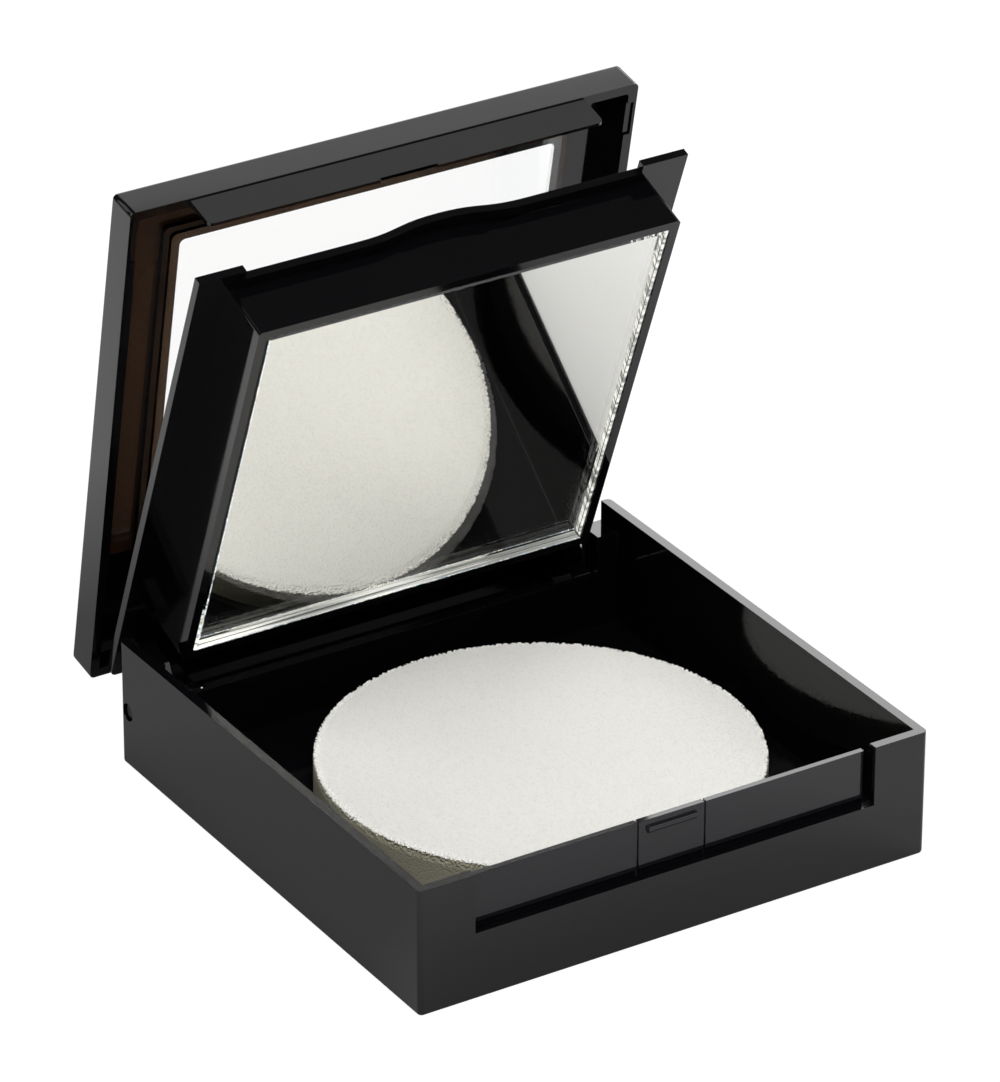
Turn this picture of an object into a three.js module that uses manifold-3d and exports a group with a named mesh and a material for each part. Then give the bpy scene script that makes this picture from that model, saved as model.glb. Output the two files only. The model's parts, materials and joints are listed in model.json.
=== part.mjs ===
// Powder compact: a square hinged case with three levels.
// The base holds a round sponge, a swing tray above it carries the pressed powder on its upper
// side and a mirror on its underside, and a windowed lid snaps over both.
//
// Frame: millimetres, +Z up, -Y is the front (the latch side), +Y is the hinge side.
// The origin is the centre of the base's resting face. The tray and the lid are drawn closed
// and then turned about the hinge pins to the open position.

import * as THREE from 'three';
import { mergeVertices } from 'three/addons/utils/BufferGeometryUtils.js';
import Module from 'manifold-3d';

const wasm = await Module();
wasm.setup();

// ---------------------------------------------------------------- driving dimensions
const WIDTH = 73;              // case, left to right
const DEPTH = 72;              // case, front to back
const BASE_HEIGHT = 17.3;      // base, up to its rim
const LID_HEIGHT = 4.7;        // lid, rim to outer face
const WALL = 1.3;              // side walls of base and lid
const FLOOR = 1.3;             // floor of the base
const CORNER = 0.7;            // radius of the case's upright corners
const EDGE = 0.45;             // bevel round the base's foot and the lid's outer face

const TRAY_OPEN = THREE.MathUtils.degToRad(69.3);
const LID_OPEN = THREE.MathUtils.degToRad(79);

// clearances
const LID_GAP = 0.2;           // closed lid above the base's rim
const TRAY_GAP = 0.26;         // tray plate inside the base's walls
const KNUCKLE_GAP = 0.3;       // between neighbouring hinge parts
const SLOT_GAP = 0.25;         // hinge barrel to the front of its slot
const SLOT_DROP = 0.5;         // slot's floor below the barrel
const SEAT_GAP = 0.1;          // between a part and the recess that it is bonded into

// hinge
const PIN_INSET = 1.75;        // pin axis in from the rear face
const PIN_HEIGHT = 7.8;        // pin axis above the resting face
const PIN_RADIUS = 0.75;
const PIN_PLAY = 0.15;         // radial play round the pin
const PIN_HEAD_RADIUS = 1.05;
const PIN_HEAD_LENGTH = 0.9;
const PIN_SINK = 0.35;         // pin head below the side face
const PIN_SHORT = 0.4;         // pin's tip inside the lid arm's inner face
const BARREL_RADIUS = 1.4;
const EAR_WIDTH = 3;           // boss inside the side wall that carries the pin
const EAR_GAP = 0.45;          // ear's top below the tray plate
const BAY_DROP = 2.7;          // top of the bay's slope below the pin axis
const BAY_LIP = 0.8;           // foot of the bay's slope in from the rear face
const TRAY_ARM_WIDTH = 2.4;
const TRAY_WEB = 2.2;          // web under the plate, in front of each tray arm
const WEB_GAP = 0.35;          // web's foot above the base's rear wall
const LID_ARM_WIDTH = 2.8;
const REAR_WALL = 1.5;
const HINGE_BAY = 4;           // rear face of the case to the compartment

// front latch
const NOTCH_INSET = 7.8;       // ends of the cut-out in the base's front wall, in from the sides
const NOTCH_DEPTH = 8.1;       // cut-out below the rim
const REST_INSET = 1.2;        // corner ledges outside the cut-out
const REST_DEPTH = 1.1;        // corner ledges behind the front wall
const PANEL_SETBACK = 1.55;    // latch panel behind the front face
const PANEL_GAP = 0.6;         // each end of the panel to the notch's side
const PANEL_SKIN = 0.5;
const PANEL_BOSS = 0.3;        // raised upper band of the panel
const PANEL_CORNER = 0.24;
const PANEL_DROP = 1;          // panel's top below the rim
const SHADOW_GAP = 0.5;        // raised band above the cut-out's floor
const PANEL_RETURN = 1.3;      // length of the end returns behind the panel
const RETURN_WALL = 0.6;
const PANEL_FOOT = 2.2;        // flange on the compartment floor
const FOOT_THICK = 0.7;
const TONGUE_WIDTH = 9.4;
const SLIT = 0.25;
const SLIT_DROP = 3;           // slit's foot below the raised band
const RIB_WIDTH = 7;
const RIB_RADIUS = 0.6;
const RIB_SINK = 0.15;         // rib's axis behind the panel's face
const RIB_DROP = 1.3;          // rib's axis below the panel's top
const RIB_ROOM = [0.6, 0.45, 0.5];  // groove for the rib in the flap: beside, into and above
const FLAP_DROP = 4.9;         // lid flap below the lid's rim
const FLAP_CORNER = 0.8;
const FLAP_SIDE_GAP = 0.4;
const FLAP_SETBACK = 0.2;
const FLAP_DRAFT = THREE.MathUtils.degToRad(5);  // lean of the flap's face, back towards its tip
const FLAP_CLEARANCE = 0.5;    // flap to latch panel, for the swing of the lid

// swing tray
const PLATE = 1.1;
const PLATE_DROP = 1.25;       // plate's top below the rim
const PLATE_GAP = 0.55;        // plate's front edge to the latch panel
const TAB_GAP = 0.3;           // tabs to the base's front wall
const TAB_SIDE_GAP = 0.25;     // tabs to the panel's ends
const PLATE_CORNER = 0.8;
const PLATE_REAR_INSET = 0.5;  // plate's rear corners in from the rear face
const PLATE_REAR_DIP = 0.95;   // plate's rear edge between the arms, in front of the pin axis
const THUMB_WIDTH = 24;        // arch in the front edge that a thumbnail lifts
const THUMB_RISE = 1.2;
const CREST = 0.4;             // flat top of the arch before it falls back
const SCOOP_DEPTH = 0.3;       // hollow below the arch, into the well's front wall
const SCOOP_DROP = 2.2;
const WELL_SIDE_GAP = 5.1;     // well to the base's side walls
const WELL_FRONT_GAP = 3.3;    // well to the base's front wall
const WELL_REAR_GAP = 5.2;     // well to the compartment's rear wall
const SPONGE_ROOM = 0.35;      // well above the sponge
const WELL_WALL = 1.1;
const WELL_CORNER = 0.5;
const WELL_FLOOR = 0.7;
const MIRROR_BORDER = 1.25;
const MIRROR_THICK = 1.9;
const MIRROR_PROUD = 0.1;
const MIRROR_CORNER = 0.4;
const MIRROR_PAD = 0.25;
const PAD_INSET = 3;           // adhesive pads inside what they hold
const PAN_PAD = 0.25;
const PAN_DROP = 1.3;          // pan's rim below the plate's top
const PAN_GAP = 0.3;           // pan inside the well
const PAN_WALL = 0.4;
const PAN_CORNER = 2;
const CAKE_DROP = 0.3;         // powder below the pan's rim

// lid
const LID_PANEL = 0.9;         // thin outer panel of the lid
const LID_BLOCK_DEPTH = 8.5;   // front of the solid bar over the hinge, from the rear face
const LID_BLOCK_RECESS = 1.4;
const LID_JOIN = 0.4;          // how far the flap, skirt and arms run up into the lid
const WINDOW_SIDE = 9.3;       // window opening in from the lid's sides,
const WINDOW_FRONT = 8.5;      // its front face
const WINDOW_REAR = 13.1;      // and its rear face
const WINDOW_CORNER = 0.8;
const FLANGE = 1.4;            // window flange outside the opening
const FLANGE_THICK = 1;
const PANE_RECESS = 0.05;      // pane below the lid's outer face
const RIDGE = 0.9;             // ridge round the window seat
const RIDGE_HEIGHT = 0.8;
const APRON_THICK = 1.2;       // rear skirt between the lid's hinge arms
const APRON_START = 2.4;       // lower edge of the skirt above the pin axis
const ARM_FRONT = 0.7;         // lid arm's front face in front of the pin axis
const ARM_BACK_INSET = 0.05;   // lid arm's foot inside the barrel's back
const RELIEF_FROM = 2.8;       // shallow cuts in the lid's rim: from the front face,
const RELIEF_TO = 7.6;         // to here,
const RELIEF_DEEP = 0.3;       // this deep
const RELIEF_WIDE = 0.9;       // and this far into the wall

// sponge
const SPONGE_X = 3;
const SPONGE_Y = -0.4;
const SPONGE_SIDE_GAP = 3.8;   // sponge to the nearer side wall
const SPONGE_END_GAP = 3.3;    // sponge to the panel's foot and the rear wall, from the middle
const SPONGE_THICK = 5.75;
const SPONGE_EDGE = 0.5;

// ---------------------------------------------------------------- derived places
const halfW = WIDTH / 2;
const halfD = DEPTH / 2;
const innerX = halfW - WALL;
const innerFront = -halfD + WALL;
const compartmentRear = halfD - HINGE_BAY;
const pinY = halfD - PIN_INSET;
const slotFront = pinY - BARREL_RADIUS - SLOT_GAP;
const rearWallTop = PIN_HEIGHT + BARREL_RADIUS;
const earInner = innerX - EAR_WIDTH;
const trayArmOuter = earInner - KNUCKLE_GAP;
const trayArmInner = trayArmOuter - TRAY_ARM_WIDTH;
const lidArmOuter = trayArmInner - KNUCKLE_GAP;
const lidArmInner = lidArmOuter - LID_ARM_WIDTH;
const lidBottom = BASE_HEIGHT + LID_GAP;
const lidTop = lidBottom + LID_HEIGHT;
const notchHalf = halfW - NOTCH_INSET;
const notchFloor = BASE_HEIGHT - NOTCH_DEPTH;
const panelHalf = notchHalf - PANEL_GAP;
const panelFront = -halfD + PANEL_SETBACK;
const panelBack = panelFront + PANEL_BOSS + PANEL_SKIN;
const panelTop = BASE_HEIGHT - PANEL_DROP;
const footFront = panelBack + PANEL_FOOT;
const ribHeight = panelTop - RIB_DROP;
const plateTop = BASE_HEIGHT - PLATE_DROP;
const plateBottom = plateTop - PLATE;
const plateFront = panelBack + PLATE_GAP;
const tabFront = innerFront + TAB_GAP;
const tabInner = panelHalf + TAB_SIDE_GAP;
const earTop = plateBottom - EAR_GAP;
const spongeBottom = FLOOR + SEAT_GAP;
const spongeRadius = Math.min(innerX - SPONGE_X - SPONGE_SIDE_GAP,
  (compartmentRear - footFront) / 2 - SPONGE_END_GAP);
const wellHalf = innerX - WELL_SIDE_GAP;
const wellFront = innerFront + WELL_FRONT_GAP;
const wellRear = compartmentRear - WELL_REAR_GAP;
const wellBottom = spongeBottom + SPONGE_THICK + SPONGE_ROOM;
const mirrorSeat = wellBottom - MIRROR_PROUD + MIRROR_THICK + SEAT_GAP / 2;
const wellFloorLow = mirrorSeat + MIRROR_PAD + SEAT_GAP;
const wellFloorTop = wellFloorLow + WELL_FLOOR;
const panBottom = wellFloorTop + PAN_PAD + 2 * SEAT_GAP;
const panTop = plateTop - PAN_DROP;
const panelLow = lidTop - LID_PANEL;
const REACH = 5;               // how far a cutter runs past a face
const OVERLAP = 0.2;           // how far joined solids run into each other

// ---------------------------------------------------------------- solids
function solid(geometry) {
  const g = geometry.index ? geometry.toNonIndexed() : geometry.clone();
  g.deleteAttribute('normal');
  g.deleteAttribute('uv');
  const merged = mergeVertices(g, 1e-4);
  return new wasm.Manifold(new wasm.Mesh({
    numProp: 3,
    vertProperties: Float32Array.from(merged.attributes.position.array),
    triVerts: Uint32Array.from(merged.index.array),
  }));
}

function geometryOf(body) {
  const mesh = body.getMesh();
  const g = new THREE.BufferGeometry();
  g.setAttribute('position', new THREE.BufferAttribute(Float32Array.from(mesh.vertProperties), 3));
  g.setIndex(new THREE.BufferAttribute(Uint32Array.from(mesh.triVerts), 1));
  const flat = g.toNonIndexed();
  flat.computeVertexNormals();
  return flat;
}

function box(x0, x1, y0, y1, z0, z1) {
  const g = new THREE.BoxGeometry(x1 - x0, y1 - y0, z1 - z0);
  g.translate((x0 + x1) / 2, (y0 + y1) / 2, (z0 + z1) / 2);
  return solid(g);
}

function roundedRect(x0, x1, y0, y1, r) {
  const s = new THREE.Shape();
  s.moveTo(x0 + r, y0);
  s.lineTo(x1 - r, y0);
  s.absarc(x1 - r, y0 + r, r, -Math.PI / 2, 0, false);
  s.lineTo(x1, y1 - r);
  s.absarc(x1 - r, y1 - r, r, 0, Math.PI / 2, false);
  s.lineTo(x0 + r, y1);
  s.absarc(x0 + r, y1 - r, r, Math.PI / 2, Math.PI, false);
  s.lineTo(x0, y0 + r);
  s.absarc(x0 + r, y0 + r, r, Math.PI, Math.PI * 1.5, false);
  return s;
}

function slab(shape, z0, z1, segments = 5) {
  const g = new THREE.ExtrudeGeometry(shape, {
    depth: z1 - z0, bevelEnabled: false, curveSegments: segments,
  });
  g.translate(0, 0, z0);
  return solid(g);
}

function roundedSlab(x0, x1, y0, y1, z0, z1, r) {
  return slab(roundedRect(x0, x1, y0, y1, r), z0, z1);
}

// A slab whose lower (side -1) or upper (side 1) edge is bevelled all round.
function bevelledSlab(z0, z1, side) {
  const core = roundedRect(-halfW + EDGE, halfW - EDGE, -halfD + EDGE, halfD - EDGE, CORNER - EDGE);
  const g = new THREE.ExtrudeGeometry(core, {
    depth: z1 - z0 - 2 * EDGE, bevelEnabled: true, bevelSize: EDGE,
    bevelThickness: EDGE, bevelSegments: 3, curveSegments: 5,
  });
  g.translate(0, 0, z0 + EDGE);
  const body = solid(g);
  const square = roundedSlab(-halfW, halfW, -halfD, halfD,
    side < 0 ? z1 - 2 * EDGE : z0, side < 0 ? z1 : z0 + 2 * EDGE, CORNER);
  return body.add(square);
}

// An outline in (y, z) run along X.
function prism(points, x0, x1) {
  const s = new THREE.Shape(points.map(([y, z]) => new THREE.Vector2(y, z)));
  const g = new THREE.ExtrudeGeometry(s, { depth: x1 - x0, bevelEnabled: false });
  g.applyMatrix4(new THREE.Matrix4().set(
    0, 0, 1, x0,
    1, 0, 0, 0,
    0, 1, 0, 0,
    0, 0, 0, 1));
  return solid(g);
}

function rod(radius, x0, x1, y, z, sides = 24) {
  const g = new THREE.CylinderGeometry(radius, radius, x1 - x0, sides);
  g.rotateZ(Math.PI / 2);
  g.translate((x0 + x1) / 2, y, z);
  return solid(g);
}

// The same feature at both sides of the case; make(x0, x1) draws it between two X values.
function bothSides(inner, outer, make) {
  return make(inner, outer).add(make(-outer, -inner));
}

function cutBoth(body, inner, outer, make) {
  return body.subtract(make(inner, outer)).subtract(make(-outer, -inner));
}

// ---------------------------------------------------------------- base
function baseShell() {
  let body = bevelledSlab(0, BASE_HEIGHT, -1);
  body = body.subtract(box(-innerX, innerX, innerFront, compartmentRear, FLOOR, BASE_HEIGHT + REACH));
  body = body.subtract(box(-notchHalf, notchHalf, -halfD - REACH, innerFront + REACH,
    notchFloor, BASE_HEIGHT + REACH));
  body = body.add(frontRests());
  return hingeCuts(body);
}

// Ledges in the two front corners that the tray's tabs come down on.
function frontRests() {
  return bothSides(notchHalf + REST_INSET, innerX + OVERLAP, (x0, x1) => box(
    x0, x1, innerFront - OVERLAP, innerFront + REST_DEPTH, FLOOR - OVERLAP, plateBottom - SEAT_GAP));
}

function hingeCuts(shell) {
  const backY = halfD + REACH;
  const above = BASE_HEIGHT + REACH;
  const slotFloor = PIN_HEIGHT - BARREL_RADIUS - SLOT_DROP;
  let body = shell;
  // the rear wall drops between the side walls, and again between the ears
  body = body.subtract(box(-innerX, innerX, compartmentRear - REACH, backY, earTop, above));
  body = body.subtract(box(-earInner, earInner, compartmentRear - REACH, backY, rearWallTop, above));
  // slots for the hinge arms
  body = cutBoth(body, lidArmInner - KNUCKLE_GAP, earInner, (x0, x1) => box(
    x0, x1, slotFront, backY, slotFloor, above));
  // sloping bay across the back that the lid's skirt swings into
  const wallBack = compartmentRear + REAR_WALL;
  const bay = [
    [wallBack, above], [wallBack, PIN_HEIGHT - BAY_DROP],
    [halfD - BAY_LIP, FLOOR], [backY, FLOOR - REACH / 2], [backY, above],
  ];
  body = body.subtract(prism(bay, -lidArmOuter - KNUCKLE_GAP, lidArmOuter + KNUCKLE_GAP));
  // pin holes through the ears, opened out for the pin heads
  body = cutBoth(body, earInner - REACH, halfW + REACH, (x0, x1) => rod(
    PIN_RADIUS + PIN_PLAY, x0, x1, pinY, PIN_HEIGHT));
  const shoulder = halfW - PIN_SINK - PIN_HEAD_LENGTH - PIN_PLAY;
  return cutBoth(body, shoulder, halfW + REACH, (x0, x1) => rod(
    PIN_HEAD_RADIUS + PIN_PLAY, x0, x1, pinY, PIN_HEIGHT));
}

// Thin wall behind the notch, split into a flexible tongue that carries the catch rib.
function latchPanel() {
  const boss = panelFront + PANEL_BOSS;
  const foot = FLOOR + SEAT_GAP;
  const shadowLine = notchFloor + SHADOW_GAP;
  let body = box(-panelHalf, panelHalf, boss, panelBack, foot, panelTop);
  body = body.add(roundedSlab(-panelHalf, panelHalf, panelFront, panelBack, shadowLine, panelTop,
    PANEL_CORNER));
  body = body.add(box(-panelHalf, panelHalf, boss, footFront, foot, foot + FOOT_THICK));
  body = body.add(bothSides(panelHalf - RETURN_WALL, panelHalf, (x0, x1) => box(
    x0, x1, boss, panelBack + PANEL_RETURN, foot, plateBottom - SEAT_GAP)));
  body = body.add(rod(RIB_RADIUS, -RIB_WIDTH / 2, RIB_WIDTH / 2, panelFront + RIB_SINK, ribHeight, 20));
  return cutBoth(body, TONGUE_WIDTH / 2, TONGUE_WIDTH / 2 + SLIT, (x0, x1) => box(
    x0, x1, panelFront - REACH, panelBack + REACH, shadowLine - SLIT_DROP, panelTop + REACH));
}

// Headed pin, drawn along X from its outer end; side is 1 for the right and -1 for the left.
function hingePin(side) {
  const outer = halfW - PIN_SINK;
  const tip = lidArmInner + PIN_SHORT;
  const length = outer - tip;
  const chamfer = 0.2;
  const outline = [
    [0, 0], [PIN_HEAD_RADIUS - chamfer, 0], [PIN_HEAD_RADIUS, chamfer],
    [PIN_HEAD_RADIUS, PIN_HEAD_LENGTH], [PIN_RADIUS, PIN_HEAD_LENGTH],
    [PIN_RADIUS, length - chamfer], [PIN_RADIUS - chamfer, length], [0, length],
  ].map(([r, h]) => new THREE.Vector2(r, h));
  const g = new THREE.LatheGeometry(outline, 24);
  g.rotateZ(side * Math.PI / 2);
  g.translate(side * outer, pinY, PIN_HEIGHT);
  return solid(g);
}

function sponge() {
  const steps = 4;
  const arc = (cx, cy, from) => Array.from({ length: steps + 1 }, (_, i) => {
    const a = from + (i / steps) * Math.PI / 2;
    return new THREE.Vector2(cx + SPONGE_EDGE * Math.cos(a), cy + SPONGE_EDGE * Math.sin(a));
  });
  const r = spongeRadius - SPONGE_EDGE;
  const outline = [
    new THREE.Vector2(0, 0),
    ...arc(r, SPONGE_EDGE, -Math.PI / 2),
    ...arc(r, SPONGE_THICK - SPONGE_EDGE, 0),
    new THREE.Vector2(0, SPONGE_THICK),
  ];
  const g = new THREE.LatheGeometry(outline, 64);
  g.rotateX(Math.PI / 2);
  g.translate(SPONGE_X, SPONGE_Y, spongeBottom);
  return solid(g);
}

// ---------------------------------------------------------------- swing tray (drawn closed)
function trayOutline() {
  const side = innerX - TRAY_GAP;
  const rear = halfD - PLATE_REAR_INSET;
  const middleRear = pinY - PLATE_REAR_DIP;
  const r = PLATE_CORNER;
  const s = new THREE.Shape();
  s.moveTo(-side, tabFront);
  s.lineTo(-tabInner, tabFront);
  s.lineTo(-tabInner, plateFront);
  s.lineTo(tabInner, plateFront);
  s.lineTo(tabInner, tabFront);
  s.lineTo(side, tabFront);
  s.lineTo(side, rear - r);
  s.absarc(side - r, rear - r, r, 0, Math.PI / 2, false);
  s.lineTo(trayArmInner, rear);
  s.lineTo(trayArmInner, middleRear);
  s.lineTo(-trayArmInner, middleRear);
  s.lineTo(-trayArmInner, rear);
  s.lineTo(-side + r, rear);
  s.absarc(-side + r, rear - r, r, Math.PI / 2, Math.PI, false);
  s.lineTo(-side, tabFront);
  return s;
}

// An outline in (x, z) with an S-curved hump, run from y0 to y1.
function hump(z, rise, drop, y0, y1) {
  const half = THUMB_WIDTH / 2;
  const s = new THREE.Shape();
  s.moveTo(-half, z);
  s.bezierCurveTo(-half / 2, z, -half / 2, z + rise, 0, z + rise);
  s.bezierCurveTo(half / 2, z + rise, half / 2, z, half, z);
  s.bezierCurveTo(half / 2, z, half / 2, z - drop, 0, z - drop);
  s.bezierCurveTo(-half / 2, z - drop, -half / 2, z, -half, z);
  const g = new THREE.ExtrudeGeometry(s, {
    depth: y1 - y0, bevelEnabled: false, curveSegments: 10,
  });
  g.rotateX(Math.PI / 2);
  g.translate(0, y1, 0);
  return solid(g);
}

// Thumb lift: the plate's front edge arches up and falls back to the plate behind.
function thumbArch() {
  const rear = wellFront + WELL_WALL - SEAT_GAP;
  const crest = plateTop + THUMB_RISE + SEAT_GAP;
  const fall = [
    [plateFront + CREST, crest], [rear, plateTop], [rear + REACH, plateTop], [rear + REACH, crest],
  ];
  return hump(plateTop, THUMB_RISE, PLATE / 2, plateFront, rear)
    .subtract(prism(fall, -THUMB_WIDTH, THUMB_WIDTH));
}

function trayShell() {
  const inner = wellHalf - WELL_WALL;
  const frameInner = wellHalf - MIRROR_BORDER;
  const armFront = pinY - BARREL_RADIUS;
  const armRear = pinY + BARREL_RADIUS - OVERLAP;
  let body = slab(trayOutline(), plateBottom, plateTop, 6);
  body = body.add(roundedSlab(-wellHalf, wellHalf, wellFront, wellRear, wellBottom,
    plateBottom + OVERLAP, WELL_CORNER));
  body = body.subtract(roundedSlab(-inner, inner, wellFront + WELL_WALL, wellRear - WELL_WALL,
    wellFloorTop, plateTop + REACH, PAN_CORNER));
  body = body.subtract(roundedSlab(-frameInner, frameInner, wellFront + MIRROR_BORDER,
    wellRear - MIRROR_BORDER, wellBottom - REACH, wellFloorLow, WELL_CORNER));
  body = body.add(thumbArch());
  body = body.subtract(hump(plateBottom, THUMB_RISE, SCOOP_DROP, plateFront - REACH,
    wellFront + SCOOP_DEPTH));
  const webFront = armFront - TRAY_WEB;
  const webFoot = rearWallTop + WEB_GAP;
  const arm = [
    [armRear, PIN_HEIGHT], [armRear, plateBottom + OVERLAP], [webFront, plateBottom + OVERLAP],
    [webFront, webFoot + compartmentRear - webFront], [compartmentRear, webFoot],
    [armFront, webFoot], [armFront, PIN_HEIGHT],
  ];
  body = body.add(bothSides(trayArmInner, trayArmOuter, (x0, x1) => prism(arm, x0, x1).add(
    rod(BARREL_RADIUS, x0, x1, pinY, PIN_HEIGHT))));
  return cutBoth(body, trayArmInner - REACH, trayArmOuter + REACH, (x0, x1) => rod(
    PIN_RADIUS + PIN_PLAY, x0, x1, pinY, PIN_HEIGHT));
}

function inWell(inset, z0, z1, radius) {
  return roundedSlab(-wellHalf + inset, wellHalf - inset, wellFront + inset, wellRear - inset,
    z0, z1, radius);
}

function mirrorGlass() {
  const z0 = wellBottom - MIRROR_PROUD;
  return inWell(MIRROR_BORDER + SEAT_GAP, z0, z0 + MIRROR_THICK, MIRROR_CORNER);
}

function mirrorPad() {
  return inWell(MIRROR_BORDER + PAD_INSET, mirrorSeat, mirrorSeat + MIRROR_PAD, MIRROR_CORNER);
}

function panPad() {
  const z0 = wellFloorTop + SEAT_GAP;
  return inWell(WELL_WALL + PAD_INSET, z0, z0 + PAN_PAD, PAN_CORNER);
}

function powderPan() {
  const inset = WELL_WALL + PAN_GAP;
  const outer = inWell(inset, panBottom, panTop, PAN_CORNER);
  const hollow = inWell(inset + PAN_WALL, panBottom + PAN_WALL, panTop + REACH,
    PAN_CORNER - PAN_WALL);
  return outer.subtract(hollow);
}

function powderCake() {
  const inset = WELL_WALL + PAN_GAP + PAN_WALL + SEAT_GAP;
  return inWell(inset, panBottom + PAN_WALL + SEAT_GAP, panTop - CAKE_DROP, PAN_CORNER - PAN_WALL);
}

// ---------------------------------------------------------------- lid (drawn closed)
// A rectangle that stands a given distance outside the window opening.
function roundWindow(margin, z0, z1) {
  const half = halfW - WINDOW_SIDE + margin;
  return roundedSlab(-half, half, -halfD + WINDOW_FRONT - margin, halfD - WINDOW_REAR + margin,
    z0, z1, WINDOW_CORNER);
}

function lidFrame() {
  const ridgeInner = FLANGE + SEAT_GAP;
  const blockFront = halfD - LID_BLOCK_DEPTH;
  let body = bevelledSlab(lidBottom, lidTop, 1);
  body = body.subtract(roundedSlab(-innerX, innerX, innerFront, blockFront, lidBottom - REACH,
    panelLow, WELL_CORNER));
  body = body.subtract(box(-innerX, innerX, blockFront - REACH, halfD - WALL, lidBottom - REACH,
    lidBottom + LID_BLOCK_RECESS));
  body = body.add(roundWindow(ridgeInner + RIDGE, panelLow - RIDGE_HEIGHT, panelLow + OVERLAP));
  body = body.subtract(roundWindow(ridgeInner, lidBottom - REACH, panelLow));
  body = body.subtract(roundWindow(0, lidBottom - REACH, lidTop + REACH));
  body = body.add(frontFlap());
  body = cutRimReliefs(body);
  body = body.add(rearSkirt());
  return cutBoth(body, lidArmInner, lidArmOuter + OVERLAP, (x0, x1) => rod(
    PIN_RADIUS + PIN_PLAY, x0, x1, pinY, PIN_HEIGHT));
}

// Lip that drops into the base's front notch; hollowed behind where the catch rib passes.
function frontFlap() {
  const half = notchHalf - FLAP_SIDE_GAP;
  const front = -halfD + FLAP_SETBACK;
  const back = panelFront - FLAP_CLEARANCE;
  const tip = lidBottom - FLAP_DROP;
  const r = FLAP_CORNER;
  const s = new THREE.Shape();
  s.moveTo(-half, lidBottom + LID_JOIN);
  s.lineTo(-half, tip + r);
  s.absarc(-half + r, tip + r, r, Math.PI, Math.PI * 1.5, false);
  s.lineTo(half - r, tip);
  s.absarc(half - r, tip + r, r, -Math.PI / 2, 0, false);
  s.lineTo(half, lidBottom + LID_JOIN);
  const g = new THREE.ExtrudeGeometry(s, {
    depth: back - front, bevelEnabled: false, curveSegments: 5,
  });
  g.rotateX(Math.PI / 2);
  g.translate(0, back, 0);
  const lean = (lidBottom - tip + REACH) * Math.tan(FLAP_DRAFT);
  const draft = prism([
    [front - REACH, tip - REACH], [front + lean, tip - REACH], [front, lidBottom], [front - REACH, lidBottom],
  ], -halfW, halfW);
  const [beside, into, above] = RIB_ROOM;
  const relief = box(-RIB_WIDTH / 2 - beside, RIB_WIDTH / 2 + beside, back - into, back + REACH,
    tip - REACH, ribHeight + RIB_RADIUS + above);
  return solid(g).subtract(draft).subtract(relief);
}

function cutRimReliefs(body) {
  return cutBoth(body, innerX - OVERLAP, innerX + RELIEF_WIDE, (x0, x1) => box(
    x0, x1, -halfD + RELIEF_FROM, -halfD + RELIEF_TO, lidBottom - REACH, lidBottom + RELIEF_DEEP));
}

// Hinge arms with the skirt between them, hanging from the lid's rear wall.
function rearSkirt() {
  const join = lidBottom + LID_JOIN;
  const back = halfD;
  const skirt = box(-lidArmOuter, lidArmOuter, back - APRON_THICK, back,
    PIN_HEIGHT + APRON_START, join);
  const armFront = pinY - ARM_FRONT;
  const arm = [
    [armFront, PIN_HEIGHT], [pinY + BARREL_RADIUS - ARM_BACK_INSET, PIN_HEIGHT],
    [back, PIN_HEIGHT + APRON_START], [back, join], [armFront, join],
  ];
  return skirt.add(bothSides(lidArmInner, lidArmOuter, (x0, x1) => prism(arm, x0, x1).add(
    rod(BARREL_RADIUS, x0, x1, pinY, PIN_HEIGHT))));
}

// Clear pane: a flange inside the lid and a raised block that fills the opening.
function lidWindow() {
  const seat = panelLow - SEAT_GAP;
  const flange = roundWindow(FLANGE, seat - FLANGE_THICK, seat);
  return flange.add(roundWindow(-SEAT_GAP, seat - FLANGE_THICK / 2, lidTop - PANE_RECESS));
}

// ---------------------------------------------------------------- assembly
const FINISH = {
  black: { color: 0x0c0c0e, roughness: 0.12, metalness: 0 },
  steel: { color: 0x9a9a9c, roughness: 0.3, metalness: 1 },
  foam: { color: 0xe9e8e0, roughness: 0.95, metalness: 0 },
  mirror: { color: 0xe8ebec, roughness: 0.02, metalness: 1 },
  tape: { color: 0xd8d8d4, roughness: 0.8, metalness: 0 },
  pan: { color: 0xc4c6c8, roughness: 0.35, metalness: 1 },
  powder: { color: 0xcf9f7c, roughness: 1, metalness: 0 },
  clear: { color: 0xf2f5f6, roughness: 0.03, metalness: 0, transparent: true, opacity: 0.25 },
};

function mesh(name, body, finish) {
  const part = new THREE.Mesh(geometryOf(body), new THREE.MeshStandardMaterial(FINISH[finish]));
  part.name = name;
  return part;
}

// A group that carries parts drawn closed and turns them open about the hinge pins.
function hinged(angle, parts) {
  const pivot = new THREE.Group();
  const closed = new THREE.Group();
  closed.position.set(0, -pinY, -PIN_HEIGHT);
  closed.add(...parts);
  pivot.position.set(0, pinY, PIN_HEIGHT);
  pivot.rotation.x = -angle;
  pivot.add(closed);
  return pivot;
}

const compact = new THREE.Group();

compact.add(
  mesh('base_shell', baseShell(), 'black'),
  mesh('latch_panel', latchPanel(), 'black'),
  mesh('hinge_pin_right', hingePin(1), 'steel'),
  mesh('hinge_pin_left', hingePin(-1), 'steel'),
  mesh('sponge', sponge(), 'foam'),
);

compact.add(hinged(TRAY_OPEN, [
  mesh('tray_shell', trayShell(), 'black'),
  mesh('mirror_glass', mirrorGlass(), 'mirror'),
  mesh('mirror_pad', mirrorPad(), 'tape'),
  mesh('pan_pad', panPad(), 'tape'),
  mesh('powder_pan', powderPan(), 'pan'),
  mesh('powder_cake', powderCake(), 'powder'),
]));

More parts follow.
